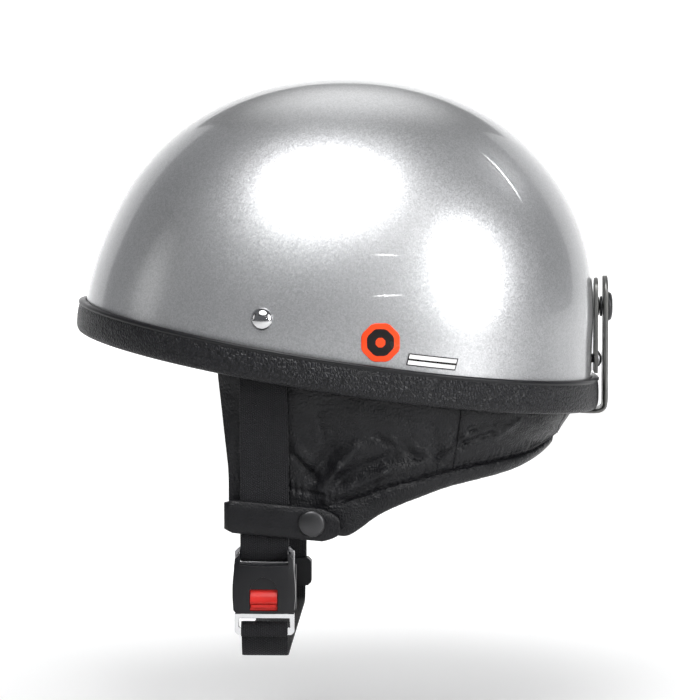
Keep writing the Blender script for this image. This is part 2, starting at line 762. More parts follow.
class HELMET_OT_liners(bpy.types.Operator):
    """Makes the foam liner, the quilted comfort liner and the sweatband"""
    bl_idname = "helmet.liners"
    bl_label = "Liners"

    def foam(self):
        s = sizes()
        step = s.apron_inset + s.leather + 1.2 * MM

        def outer(phi, share):
            low = rim_z(phi) + FOAM_LOW
            z = low + (s.crown_top - FOAM_OUTER - low) * share
            inset = lerp(step, FOAM_OUTER, smoothstep(z - low, 15 * MM, 22 * MM))
            return wall(phi, inset, z)

        bm = double_dome(outer, dome_point(FOAM_INNER, FOAM_LOW), cuts=31)
        finish_piece(bm, "foam_liner", "foam", "helmet", "impact_liner")

    def comfort(self):
        foot = SWEATBAND - 1.6 * MM
        band, crown, pitch, groove, far = 27 * MM, 60 * MM, 44 * MM, 3.2 * MM, 40 * MM
        plain = dome_point(LINING_OUTER, foot)

        def quilted(phi, share):
            inner = dome_point(LINING_OUTER + LINING_WALL, foot)(phi, share)
            seam = min(abs(abs(inner.x) - band), far) if abs(inner.x) < crown else far
            channel = abs(math.sin(math.pi * (inner.y + 4 * MM) / pitch)) * 14 * MM
            near = min(seam, channel if abs(inner.x) < band else far)
            sunk = math.exp(-(near / groove) ** 2) * groove
            rim = math.exp(-((inner.z - rim_z(phi) - foot) / (6 * MM)) ** 2) * 2.5 * MM
            out = Vector((inner.x, inner.y, max(inner.z, 0))).normalized()
            return inner + out * (sunk + rim)

        bm = double_dome(plain, quilted, cuts=79)
        piece = finish_piece(bm, "comfort_pad", "black_fabric", "helmet", "comfort_liner")

    def band(self):
        low, high = FOAM_LOW / MM, SWEATBAND / MM - 2
        out, wide = LINING_OUTER / MM, LINING_WALL / MM
        count = 20
        section = []
        for i in range(count):
            angle = math.tau * i / count
            swell, rise = squircle(angle, 0.7)
            section.append(((out + wide / 2 + swell * wide / 2) * MM,
                            ((low + high) / 2 + rise * (high - low) / 2) * MM))
        bm = hoop(section, columns=180)
        for vert in bm.verts:
            swing = noise.noise(vert.co * 55) * 0.5 * MM
            vert.co += Vector((vert.co.x, vert.co.y, 0)).normalized() * swing
        piece = finish_piece(bm, "sweatband_pad", "black_fabric", "helmet", "sweatband")

    def execute(self, context):
        self.foam()
        self.comfort()
        self.band()
        return {"FINISHED"}


# ------------------------------------------------------------------ stickers
FILM, FILM_LIFT = 0.2 * MM, -0.35 * MM  # the film's thickness, and its inset from the shell
BAR_COLUMNS, BAR_ROWS = 54, 12


class HELMET_OT_decals(bpy.types.Operator):
    """Makes the plain round sticker and the plain outlined bar beside it"""
    bl_idname = "helmet.decals"
    bl_label = "Stickers"

    def execute(self, context):
        low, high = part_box("side_decal")
        middle = (low + high) / 2
        radius = (high.z - low.z) / 2
        squeeze = wall_normal(phi_at_y(middle.y, 0, middle.z), middle.z).x

        def on_shell(y, z):
            return wall(phi_at_y(y, 0, z), FILM_LIFT, z)

        eighth = math.pi / 8

        def octagon(u, v):
            angle = u * math.tau
            corner = (angle + eighth) % (2 * eighth) - eighth
            r = v * radius * min(math.cos(eighth) / math.cos(corner) * 1.04, 1)
            return on_shell(middle.y + r * math.cos(angle) * squeeze,
                            middle.z + r * math.sin(angle))

        bm = grid(72, 20, octagon)
        layer = bm.loops.layers.uv.verify()
        for face in bm.faces:
            share = sum(loop[layer].uv.y for loop in face.loops) / 4
            face.material_index = int(0.25 < share < 0.72)
        bmesh.ops.remove_doubles(bm, verts=bm.verts[:], dist=1e-6)
        sticker = finish_piece(bm, "round_sticker", ["orange_film", "black_film"], "helmet",
                               "side_decal")
        solidify(sticker, FILM)

        low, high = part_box("side_label")
        tall, slant, above = 6 * MM, 1.6 * MM, 2.4 * MM
        start, end = low.y + 1 * MM, high.y - 1 * MM

        def bar(u, v):
            y = lerp(start, end, u)
            rim = rim_z(phi_at_y(y, 0, 0))
            return on_shell(y + v * slant, rim + sizes().trim_height / 2 + above + v * tall)

        bm = grid(BAR_COLUMNS, BAR_ROWS, bar)
        layer = bm.loops.layers.uv.verify()
        for face in bm.faces:
            u = sum(loop[layer].uv.x for loop in face.loops) / 4
            v = sum(loop[layer].uv.y for loop in face.loops) / 4
            border = min(u, 1 - u) * BAR_COLUMNS < 1 or min(v, 1 - v) * BAR_ROWS < 1
            face.material_index = int(border or 0.42 < v < 0.58)
        label = finish_piece(bm, "plain_bar_sticker", ["white_film", "black_film"], "helmet",
                             "side_label")
        solidify(label, FILM)
        return {"FINISHED"}


# ------------------------------------------------------------------ apron
# The middle of the strap and of the keeper's snap, which hold the leather flat, in millimetres.
STRAP_Y, SNAP_Y, SNAP_Z = -34, -9, -81

# Folds in the ear leather: start and end in (y, z), width and height, in millimetres.
FOLDS = [
    ((-4, -64), (4, -53), 3.0, 3.0), ((4, -53), (13, -42), 3.4, 2.4),
    ((-9, -56), (2, -42), 3.6, -2.4), ((-25, -41), (-7, -59), 1.5, -1.5),
    ((-22, -38), (-5, -54), 2.8, 1.2), ((-2, -69), (26, -55), 3.2, 2.4),
    ((26, -55), (52, -50), 3.0, 1.6), ((6, -58), (32, -46), 3.4, -1.9),
    ((-6, -24), (-3, -41), 1.8, -0.8), ((23, -36), (46, -48), 1.6, -1.1),
    ((24, -33), (29, -41), 1.1, -0.7), ((31, -36), (37, -45), 1.1, 0.8),
    ((38, -39), (44, -48), 1.0, -0.8), ((43, -41), (50, -46), 1.2, 0.7),
    ((14, -24), (44, -33), 6.0, 0.9), ((26, -16), (54, -27), 6.0, -0.8),
    ((52, -30), (57, -50), 2.6, -0.9), ((-50, -30), (-47, -64), 4.0, 0.7)]
NAPE_FOLDS = [
    ((57, -47), (70, -40), 1.6, -1.2), ((70, -40), (84, -36), 1.6, -1.0),
    ((59, -43), (74, -36), 2.2, 1.0), ((72, -33), (96, -28), 2.0, -0.8),
    ((86, -38), (98, -30), 1.6, 0.9), ((88, -22), (106, -30), 2.2, -0.8),
    ((96, -38), (108, -44), 2.4, -0.8), ((104, -28), (118, -40), 3.0, 0.8),
    ((62, -30), (68, -44), 1.3, -0.7)]


def fold_height(y, z, folds):
    """Outward lift of the leather from a list of folds, in millimetres."""
    total = 0.0
    for (y0, z0), (y1, z1), width, height in folds:
        dy, dz = y1 - y0, z1 - z0
        t = ((y - y0) * dy + (z - z0) * dz) / (dy * dy + dz * dz)
        held = clamp(t)
        away = math.hypot(y - y0 - held * dy, z - z0 - held * dz)
        total += 1.3 * height * math.exp(-(away / width) ** 2)
    return total


def leather_lift(point, mirror=1):
    """How far the hide stands out at a point, in metres."""
    y, z = point.y / MM, point.z / MM
    depth, stretch = (0.85, 1.0) if mirror > 0 else (1.0, 1.06)
    lift = fold_height(y * stretch, z, FOLDS) * depth + fold_height(y, z, NAPE_FOLDS)
    lift += 0.55 * noise.fractal(Vector((point.x * 20, point.y * 38, point.z * 60)), 0.6, 2.1, 4)
    under_strap = math.exp(-(max(abs(y - STRAP_Y) - 13, 0) / 3) ** 2)
    under_snap = math.exp(-(math.hypot(y - SNAP_Y, z - SNAP_Z) / 9) ** 2)
    return lerp(lift, min(lift, 0) * 0.4, max(under_strap, under_snap)) * MM


def gathers(phi):
    """Uneven waves along the apron's lower seam, from -1 to 1."""
    return math.sin(phi * 165 + 2.2 * math.sin(phi * 41))


def pucker(phi, z):
    """Small gathers where the hide is sewn to the roll, in metres."""
    seam = apron_bottom(phi) + roll_tall(phi)
    near = math.exp(-((z - seam - 1 * MM) / (4.5 * MM)) ** 2)
    return (0.42 * gathers(phi) - 0.9 * math.exp(-((z - seam) / (1.3 * MM)) ** 2)) * near * MM


def hide(phi, inward, z, mirror=1):
    """The leather at an angle and height: its plain point, the way out and its lift."""
    point = apron(phi, inward, z)
    under = smoothstep(rim_z(phi) - 9 * MM - z, 0, 8 * MM)
    lift = (leather_lift(point, mirror) + pucker(phi, z)) * under
    return point, Vector((math.cos(phi), math.sin(phi), 0)), lift


def panel(start, end, columns, rows, top, inward, bottom, mirror=1):
    """A stretch of leather between two angles, with its folds."""
    def place(u, v):
        phi = lerp(start, end, u)
        z = lerp(bottom(phi), rim_z(phi) + top, v)
        point, out, lift = hide(phi, inward, z, mirror)
        edge = smoothstep(u, 0, 0.035) * smoothstep(1 - u, 0, 0.035) * smoothstep(v, 0, 0.05)
        sunk = (1 - edge) * 0.7 * MM
        return point + out * (lift * edge - sunk)

    bm = grid(columns, rows, place)
    middle = (start + end) / 2
    outwards = Vector((math.cos(middle), math.sin(middle), 0))
    bmesh.ops.recalc_face_normals(bm, faces=bm.faces[:])
    if sum(face.normal.dot(outwards) for face in bm.faces) < 0:
        bmesh.ops.reverse_faces(bm, faces=bm.faces[:])
    return bm


def mirrored(phi):
    return math.pi - phi


def flap_bottom(phi):
    raised = roll_tall(phi) * 0.62
    return apron_bottom(phi) + raised * smoothstep(side_angle(phi), PAD_START, ROLL_START)


SIDES = (("left", 1), ("right", -1))


class HELMET_OT_apron(bpy.types.Operator):
    """Makes the leather ear flaps, the nape panels and their linings"""
    bl_idname = "helmet.apron"
    bl_label = "Leather apron"

    def leather(self, name, node, start, end, columns, mirror=1):
        bm = panel(start, end, columns, 110, 9 * MM, 0, flap_bottom, mirror)
        piece = finish_piece(bm, name, "black_leather", "helmet", node, turn=False)
        solidify(piece, sizes().leather - 0.4 * MM)

    def lining(self, name, node, start, end, columns, bottom):
        bm = panel(start, end, columns, 40, -2.8 * MM, sizes().leather + 1.2 * MM, bottom)
        piece = finish_piece(bm, name, "black_fabric", "helmet", node, turn=False)
        solidify(piece, 2.6 * MM)

    def execute(self, context):
        seam = math.radians(0.1)
        snap_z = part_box("left_snap_stud")[0].z
        for side, way in SIDES:
            at = (lambda phi: phi) if way > 0 else mirrored
            self.leather(f"{side}_ear_leather", f"{side}_ear_flap", at(EAR_FRONT), at(EAR_REAR),
                         150, way)
            self.leather(f"{side}_nape_leather", f"{side}_nape_panel", at(EAR_REAR + seam),
                         at(NAPE_REAR), 110, way)
            self.lining(f"{side}_ear_cloth", f"{side}_ear_lining", at(EAR_FRONT + 0.03),
                        at(EAR_REAR), 60,
                        lambda phi: max(flap_bottom(phi) + 4 * MM, snap_z + 22 * MM))
        self.leather("rear_nape_leather", "rear_nape_panel", NAPE_REAR + seam,
                     mirrored(NAPE_REAR + seam), 80)
        self.lining("nape_cloth", "nape_lining", EAR_REAR + seam, mirrored(EAR_REAR + seam), 120,
                    lambda phi: flap_bottom(phi) + 3 * MM)
        return {"FINISHED"}


class HELMET_OT_stitches(bpy.types.Operator):
    """Makes the row of thread stitches above the padded roll"""
    bl_idname = "helmet.stitches"
    bl_label = "Stitches"

    def execute(self, context):
        above, proud, thread, count = 2.4 * MM, 0.12 * MM, 0.3 * MM, 116

        def spot(share):
            phi = lerp(ROLL_START, mirrored(ROLL_START), share)
            z = apron_bottom(phi) + roll_tall(phi) + above
            point, out, lift = hide(phi, 0, z, 1 if phi < math.pi / 2 else -1)
            return point + out * (lift + proud)

        bm = bmesh.new()
        for i in range(count):
            start, end = spot((i + 0.18) / count), spot((i + 0.82) / count)
            along = (end - start).normalized()
            turn = Vector((1, 0, 0)).rotation_difference(along).to_matrix().to_4x4()
            shape = Matrix.Diagonal(((end - start).length / 2, thread, thread, 1))
            bmesh.ops.create_icosphere(bm, subdivisions=2, radius=1,
                                       matrix=Matrix.Translation((start + end) / 2) @ turn @ shape)
        finish_piece(bm, "apron_stitches", "thread", "helmet", slot="black_leather")
        return {"FINISHED"}


def puff(piece, voxel, pressure, cap):
    """Swells a closed pad with the cloth solver and writes the result into its mesh.

    No point moves more than the cap."""
    remesh = piece.modifiers.new("Remesh", "REMESH")
    remesh.mode = "VOXEL"
    remesh.voxel_size = voxel
    apply_modifiers(piece)
    before = [v.co.copy() for v in piece.data.vertices]
    cloth = piece.modifiers.new("Cloth", "CLOTH")
    cloth.settings.use_pressure = True
    cloth.settings.uniform_pressure_force = pressure
    cloth.settings.effector_weights.gravity = 0
    cloth.settings.quality = 5
    scene = bpy.context.scene
    for step in range(1, 21):
        scene.frame_set(step)
    apply_modifiers(piece)
    for vert, start in zip(piece.data.vertices, before):
        moved = vert.co - start
        if moved.length > cap:
            vert.co = start + moved * (cap / moved.length)
    scene.frame_set(1)
    for face in piece.data.polygons:
        face.use_smooth = True


class HELMET_OT_roll(bpy.types.Operator):
    """Makes the padded roll along the apron's bottom edge"""
    bl_idname = "helmet.roll"
    bl_label = "Apron roll"

    def execute(self, context):
        s = sizes()
        around = 14
        thick = 8 * MM

        def place(u, v):
            phi = lerp(PAD_START, mirrored(PAD_START), u)
            angle = v * math.tau
            across, rise = squircle(angle, 0.8)
            ends = min(u, 1 - u) * 183
            taper = smoothstep(ends, -0.4, 7)
            tall = roll_tall(phi) * 1.04
            z = apron_bottom(phi) + tall * (0.5 + rise * 0.5 * lerp(0.75, 1, taper))
            gather = gathers(phi) * 0.4 * MM * max(rise, 0)
            depth = s.leather / 2 - across * (thick / 2 * lerp(0.45, 0.94, taper) + gather)
            return apron(phi, depth, z)

        bm = capped(grid(330, around, place), around, dist=1e-6)
        roll = finish_piece(bm, "apron_edge_roll", "black_leather", "helmet", "apron_roll")
        puff(roll, 1.6 * MM, 4.0, 1.2 * MM)
        soften(roll)
        return {"FINISHED"}


# ------------------------------------------------------------------ chin strap
# In millimetres: half a steel plate, the room between pieces, the adjuster's wall, how far the
# webbing lies inside the shell and the trim's lip, and the lowest point of the chin loop.
HALF_PLATE, ROOM, ADJUSTER_WALL = 1, 0.4, 1.4
STRAP_ROOM, LIP_ROOM = 1.2, 2.6
LOOP_LOW = -152


class HELMET_OT_rivets(bpy.types.Operator):
    """Makes the domed chrome strap rivets and their washers"""
    bl_idname = "helmet.rivets"
    bl_label = "Strap rivets"

    def execute(self, context):
        z = middle_of("left_strap_rivet").z
        phi = phi_at_y(STRAP_Y * MM, 0, z)
        place, way = wall(phi, 0, z), wall_normal(phi, z)
        for side, sign in SIDES:
            flip = Vector((sign, 1, 1))
            profile = [(0, 3.4), (1.3, 3.32), (2.6, 3.05), (3.9, 2.5), (4.9, 1.75), (5.6, 0.95),
                       (5.9, 0.4), (5.7, 0.12), (5.2, 0.05), (2.4, 0.05), (2.4, -10), (0, -10)]
            bm = aim(turned(profile), place * flip, way * flip)
            finish_piece(bm, f"{side}_rivet", "chrome", "helmet", f"{side}_strap_rivet")
            refinish(f"{side}_rivet_washer", "steel")
        return {"FINISHED"}


def strip(stops, width, thickness):
    """Webbing along stops of (place, width direction), closed, with soft selvedges."""
    last = len(stops) - 1
    facing = []
    for i in range(last + 1):
        ahead = stops[min(i + 1, last)][0] - stops[max(i - 1, 0)][0]
        facing.append(ahead.cross(stops[i][1]).normalized())
    runs = [0.0]
    for a, b in zip(stops, stops[1:]):
        runs.append(runs[-1] + (b[0] - a[0]).length)
    section = []
    for side in (1, -1):
        for share in (0.5, 0.488, 0.46, 0.2, -0.2, -0.46, -0.488, -0.5):
            lift = {0.5: 0.35, 0.488: 0.42}.get(abs(share), 0.5)
            section.append((share * side, lift * side))
    count = len(section)

    def place(u, v):
        i = round(v * last)
        across, lift = section[round(u * count) % count]
        return stops[i][0] + stops[i][1] * (across * width) + facing[i] * (lift * thickness)

    bm = grid(count, last, place)
    layer = bm.loops.layers.uv.verify()
    for face in bm.faces:
        for loop in face.loops:
            u, v = loop[layer].uv
            i = min(int(round(v * last)), last)
            across = section[round(u * count) % count][0]
            loop[layer].uv = ((across + 0.5) * width, runs[i])
    return capped(bm, count)


def smooth_line(points, step):
    """Evenly spaced points on a smooth curve through (x, z) points in millimetres."""
    dense = []
    for i in range(len(points) - 1):
        p0 = Vector(points[max(i - 1, 0)])
        p1, p2 = Vector(points[i]), Vector(points[i + 1])
        p3 = Vector(points[min(i + 2, len(points) - 1)])
        for k in range(24):
            t = k / 24
            dense.append(0.5 * ((2 * p1) + (p2 - p0) * t + (2 * p0 - 5 * p1 + 4 * p2 - p3) * t * t
                                + (3 * p1 - p0 - 3 * p2 + p3) * t ** 3))
    dense.append(Vector(points[-1]))
    spaced, carried = [dense[0]], 0.0
    for a, b in zip(dense, dense[1:]):
        carried += (b - a).length
        if carried >= step:
            spaced.append(b)
            carried = 0.0
    if (spaced[-1] - dense[-1]).length > step / 3:
        spaced.append(dense[-1])
    return spaced


class StrapLine:
    """Where the webbing runs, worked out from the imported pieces."""

    def __init__(self):
        s = sizes()
        self.y = middle_of("left_strap_webbing").y / MM
        self.frame_x = middle_of("buckle_frame").x / MM
        self.frame_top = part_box("buckle_frame")[1].z / MM
        self.low_x = self.frame_x + HALF_PLATE + ROOM + s.webbing / MM / 2
        self.rivet_z = middle_of("left_strap_rivet").z
        self.rivet_phi = phi_at_y(self.y * MM, 0, self.rivet_z)
        way = wall_normal(self.rivet_phi, self.rivet_z)
        self.yaw = math.atan2(way.y, way.x)

    def x(self, z):
        """Centre of the webbing at a height, in millimetres."""
        s = sizes()
        z = z * MM
        rim = rim_z(self.rivet_phi)
        hidden = 1 - smoothstep(z, rim + s.trim_height / 2, rim + s.trim_height)
        inset = s.shell_wall + hidden * LIP_ROOM * MM
        reaches = []
        for edge in (-1, 0, 1):
            out = edge * s.webbing_width / 2
            y = self.y * MM + out * math.cos(self.yaw)
            reaches.append(wall(phi_at_y(y, inset, z), inset, z).x + out * math.sin(self.yaw))
        high = min(reaches) - STRAP_ROOM * MM - s.webbing / 2
        free = rim - s.trim_height / 2 - z
        leather = apron(phi_at_y(self.y * MM, s.apron_inset, 0), 0, z).x
        low = max(leather + 1.3 * MM + s.webbing / 2, self.low_x * MM)
        return lerp(high, low, smoothstep(free, -4 * MM, 14 * MM)) / MM

    def stops(self, low, sign):
        """Stops from above the rivet down to a height, in millimetres."""
        top, count = self.rivet_z / MM + 12, 60
        made = []
        for i in range(count + 1):
            z = lerp(top, low, i / count)
            yaw = self.yaw * smoothstep(z, -62, -8)
            made.append((Vector((sign * self.x(z), self.y, z)) * MM,
                         Vector((-math.sin(yaw) * sign, math.cos(yaw), 0))))
        return made

    def flat(self, points, sign=1):
        """Stops at (x, z) points in the plane that the lower webbing hangs in."""
        return [(Vector((sign * p[0], self.y, p[1])) * MM, Vector((0, 1, 0))) for p in points]


class HELMET_OT_webbing(bpy.types.Operator):
    """Makes the woven straps and the chin loop"""
    bl_idname = "helmet.webbing"
    bl_label = "Webbing"

    def execute(self, context):
        s = sizes()
        half = s.webbing / MM / 2
        line = StrapLine()
        top, fx, lx = line.frame_top, line.frame_x, line.low_x
        slot, back = top - 7.0, 2 * fx - lx
        wrap = smooth_line([(lx, top + 1), (lx, top - 2.4), (lx - 0.9, slot + 0.9), (fx, slot),
                            (back + 0.9, slot + 0.9), (back, top - 2.4), (back, top + 5)], 0.5)
        bm = strip(line.stops(top + 2, 1) + line.flat(wrap), s.webbing_width, s.webbing)
        finish_piece(bm, "left_web", "black_webbing", "helmet", "left_strap_webbing")

        slide_low, slide_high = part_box("adjuster_slide")
        outer = -slide_low.x / MM - ADJUSTER_WALL - ROOM - half
        right = slide_high.x / MM - ADJUSTER_WALL - ROOM - half
        low, high = slide_low.z / MM, slide_high.z / MM
        down = smooth_line([(lx, top + 1), (lx, top - 4), (outer, top - 14), (outer, high),
                            (outer, low + 3)], 1.5)
        bm = strip(line.stops(top + 3, -1) + line.flat(down, -1), s.webbing_width, s.webbing)
        finish_piece(bm, "right_web", "black_webbing", "helmet", "right_strap_webbing")

        middle = middle_of("buckle_tongue").x / MM
        reach = HALF_PLATE + ROOM + half
        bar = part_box("buckle_tongue")[0].z / MM + 4
        out, into = middle + reach, middle - reach
        floor = LOOP_LOW + half
        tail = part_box("chin_strap_webbing")[1].z / MM
        wrap = smooth_line([(out, bar - 4.4), (out, bar - 0.6), (out - 0.9, bar + 1.6),
                            (middle, bar + 2.4), (into + 0.9, bar + 1.6), (into, bar - 0.6),
                            (into, bar - 5.4)], 0.5)
        across = smooth_line([(into, bar - 6.4), (into - 2.4, floor + 2.4), (into - 8, floor),
                              (into - 34, floor), (0, floor), (right + 30, floor),
                              (right + 8, floor), (right + 2.4, floor + 2.4),
                              (right, floor + 8), (right, high), (right, tail)], 1.2)
        bm = strip(line.flat(wrap + across), s.webbing_width - 1 * MM, s.webbing)
        finish_piece(bm, "chin_web", "black_webbing", "chin_loop", "chin_strap_webbing")
        return {"FINISHED"}


def sliced(bm, axis, low, high, count):
    """Cuts a mesh across at even steps so that it can be curved."""
    way = Vector((axis == "x", axis == "y", axis == "z"))
    for i in range(1, count):
        bmesh.ops.bisect_plane(bm, geom=bm.verts[:] + bm.edges[:] + bm.faces[:], dist=1e-6,
                               plane_co=way * lerp(low, high, i / count), plane_no=way)
    return bm


class HELMET_OT_buckle(bpy.types.Operator):
    """Makes the buckle's housing, frame, button, spring and tongue and the length adjuster"""
    bl_idname = "helmet.buckle"
    bl_label = "Buckle"

    def housing(self):
        low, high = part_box("buckle_cover")
        middle, half = (low.y + high.y) / 2, (high.y - low.y) / 2
        lip = high.z - 7.5 * MM
        bm = rounded_copy("buckle_cover", 1.1 * MM, 4)
        sliced(bm, "y", low.y, high.y, 16)
        sliced(bm, "z", low.z, high.z, 14)
        for vert in bm.verts:
            up = (vert.co.z - low.z) / (high.z - low.z)
            out = (vert.co.x - low.x) / (high.x - low.x)
            side = (vert.co.y - middle) / half
            vert.co.y = middle + side * half * (1 - 0.075 * smoothstep(up, 0.4, 1)
                                                - 0.03 * smoothstep(0.3 - up, 0, 0.3))
            vert.co.x -= out ** 3 * MM * (1.3 * side ** 4 + 0.5 * side ** 2
                                          + 0.8 * smoothstep(up, 0.5, 1) ** 2
                                          + 0.4 * smoothstep(0.25 - up, 0, 0.25))
            if abs(side) < 0.83:
                near = smoothstep(vert.co.z, lip - 4 * MM, lip - 0.8 * MM)
                vert.co.z += near * (2.1 + 1.0 * side ** 2) * MM
        shade_by_angle(finish_piece(bm, "buckle_housing", "black_plastic", "helmet",
                                    "buckle_cover"))

    def button(self):
        low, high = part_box("release_button")
        face_low, face_high = low.z + 1 * MM, high.z - 1.4 * MM
        plunger_low = low.z + 3.8 * MM
        bm = rounded_copy("release_button", 0.35 * MM)
        sliced(bm, "z", face_low, face_high, 18)
        for vert in bm.verts:
            up = (vert.co.z - face_low) / (face_high - face_low)
            out = smoothstep(vert.co.x, high.x - 2.2 * MM, high.x - 0.6 * MM)
            sunk = (1.7 * smoothstep(up, 0.55, 1.0) + 1.1 * smoothstep(0.36 - up, 0, 0.08)
                    - 0.5 * math.exp(-((up - 0.45) / 0.09) ** 2))
            vert.co.x -= out * sunk * MM
            if vert.co.x < low.x + 3 * MM and abs(vert.co.z - plunger_low) < 0.4 * MM:
                vert.co.z += 0.4 * MM
        shade_by_angle(finish_piece(bm, "red_button", "red_plastic", "button", "release_button"))

    def plate(self):
        """The plate, its window wide enough for the leaf spring to bend into."""
        low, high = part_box("buckle_frame")
        middle = (low.y + high.y) / 2
        bm = rounded_copy("buckle_frame", 0.45 * MM)
        for vert in bm.verts:
            side = vert.co.y - middle
            if abs(side) < 9 * MM and vert.co.z < high.z - 15 * MM:
                vert.co.y += math.copysign(4.7 * MM, side)
                vert.co.z += 2.8 * MM if vert.co.z > high.z - 20 * MM else -1.9 * MM
        shade_by_angle(finish_piece(bm, "buckle_plate", "steel", "helmet", "buckle_frame"))

    def leaf(self):
        """The leaf spring, bent by the button."""
        low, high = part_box("catch_spring")
        bm = sliced(rounded_copy("catch_spring", 0.12 * MM), "z", low.z, high.z, 24)
        piece = finish_piece(bm, "catch_leaf", "steel", None)
        shade_by_angle(piece)
        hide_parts("catch_spring")
        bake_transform(piece)

    def execute(self, context):
        self.housing()
        self.button()
        self.plate()
        self.leaf()
        rounded_piece("buckle_base", "buckle_back", "black_plastic", "helmet", 0.6 * MM)
        rounded_piece("buckle_tongue", "latch_tongue", "chrome", "chin_loop", 0.4 * MM)
        rounded_piece("adjuster_slide", "length_adjuster", "black_plastic", "helmet", 0.7 * MM)
        return {"FINISHED"}


# ------------------------------------------------------------------ keepers and snaps
def snap_pieces(side, centre, way, levels):
    """The cap, socket, stud and post of one snap. Levels are distances along the way."""
    cap, cap_top, stud, stud_top, socket, socket_top = levels
    body = "goggle_leaf" if side == "goggle" else f"{side}_keeper"
    radius = 7.8 if side == "goggle" else 7.0
    neck, root, flange = (0.7, 0.55, 0.5) if side == "goggle" else (1.3, 0.85, 0.6)
    rows = [("cap", body, [(0, cap_top), (radius * 0.55, cap_top - 0.12),
                           (radius * 0.8, cap_top - 0.5), (radius * 0.94, cap_top - 1.0),
                           (radius, cap + 0.9), (radius, cap + 0.35),
                           (radius * 0.96, cap + 0.05), (radius * 0.8, cap), (1.4, cap),
                           (1.4, cap - 2.6), (0, cap - 2.6)]),
            ("stud", "helmet", [(0, stud_top), (1.5, stud_top - 0.15), (1.95, stud_top - 0.6),
                                (1.7, stud_top - neck), (2.0, stud + root),
                                (4.4, stud + flange), (5.0, stud + 0.35), (5.0, stud),
                                (0, stud)]),
            ("socket", body, [(2.4, socket), (5.2, socket), (5.5, socket + 0.3),
                              (5.5, socket_top - 0.3), (5.2, socket_top), (2.4, socket_top),
                              (2.4, socket)])]
    for label, rides, profile in rows:
        bm = aim(turned(profile), centre, way)
        node = f"{side}_snap_{label}"
        finish_piece(bm, f"{node}_turned", "black_metal", rides, node)


# In millimetres: the keeper's height, and how far its fold stands before its CAD strap.
KEEPER_TALL, FOLD_REACH = 17.0, 4.5
KEEPER_SLOPE = 5 / 55


class HELMET_OT_keepers(bpy.types.Operator):
    """Makes the leather keepers round the webbing and their snaps"""
    bl_idname = "helmet.keepers"
    bl_label = "Keepers"

    def keeper(self, side, sign):
        line = StrapLine()
        back_low, back_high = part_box(f"{side}_keeper_back")
        strap_low, strap_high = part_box(f"{side}_keeper_strap")
        fold_y = strap_low.y / MM - FOLD_REACH
        tip = strap_high.y / MM
        back_x = min(abs(back_low.x), abs(back_high.x)) / MM + 0.75
        front_x = max(abs(strap_low.x), abs(strap_high.x)) / MM - 1
        top = strap_high.z / MM - KEEPER_TALL / 2

        def centre_z(y):
            return top - KEEPER_SLOPE * (y - fold_y)

        route = smooth_line([(back_x, line.y + 13.5), (back_x, line.y), (back_x, fold_y + 3),
                             (back_x + 0.5, fold_y + 0.7), ((back_x + front_x) / 2, fold_y - 0.5),
                             (front_x - 0.4, fold_y + 0.8), (front_x, fold_y + 3.4),
                             (front_x, line.y), (front_x, line.y + 14), (front_x, tip)], 0.55)
        last = len(route) - 1
        facing = across_route(route)
        section = [(0.5, -0.2), (0.5, 0.2), (0.488, 0.42), (0.45, 0.5), (0.40, 0.42), (0.36, 0.5),
                   (0.1, 0.5), (-0.1, 0.5), (-0.36, 0.5), (-0.40, 0.42), (-0.45, 0.5),
                   (-0.488, 0.42), (-0.5, 0.2), (-0.5, -0.2), (-0.47, -0.5), (-0.2, -0.5),
                   (0.2, -0.5), (0.47, -0.5)]
        count = len(section)

        def place(u, v):
            i = round(v * last)
            share, lift = section[round(u * count) % count]
            x, y = route[i]
            front = x > (back_x + front_x) / 2
            near = clamp((tip - y) / 9) if front else 1.0
            height = KEEPER_TALL * share * (lerp(0.34, 1, math.sqrt(near)) if front else 0.96)
            height *= 1 - 0.16 * (1 - smoothstep(y, fold_y - 0.6, fold_y + 3.5))
            thick = 1.9 if front else 1.5
            wave = noise.noise(Vector((y * 0.09, share * 2, sign * 3))) * 0.18
            spot = Vector((x, y)) + facing[i] * (-lift * thick - wave * (1 if front else 0))
            return Vector((spot.x * sign, spot.y, centre_z(y) + height)) * MM

        bm = capped(grid(count, last, place), count)
        piece = finish_piece(bm, f"{side}_keeper_leather", "keeper_leather", None,
                             slot="black_leather")
        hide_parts(f"{side}_keeper_back", f"{side}_keeper_strap")
        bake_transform(piece)

    def execute(self, context):
        for side, sign in SIDES:
            self.keeper(side, sign)
            cap, stud, ring = (sorted(abs(corner.x) / MM
                                      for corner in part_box(f"{side}_snap_{label}"))
                               for label in ("cap", "stud", "socket"))
            levels = (cap[1] - 2.7, cap[1], *stud, *ring)
            snap_pieces(side, middle_of(f"{side}_snap_cap") * Vector((0, 1, 1)), (sign, 0, 0),
                        levels)
            refinish(f"{side}_snap_post", "black_metal")
        return {"FINISHED"}


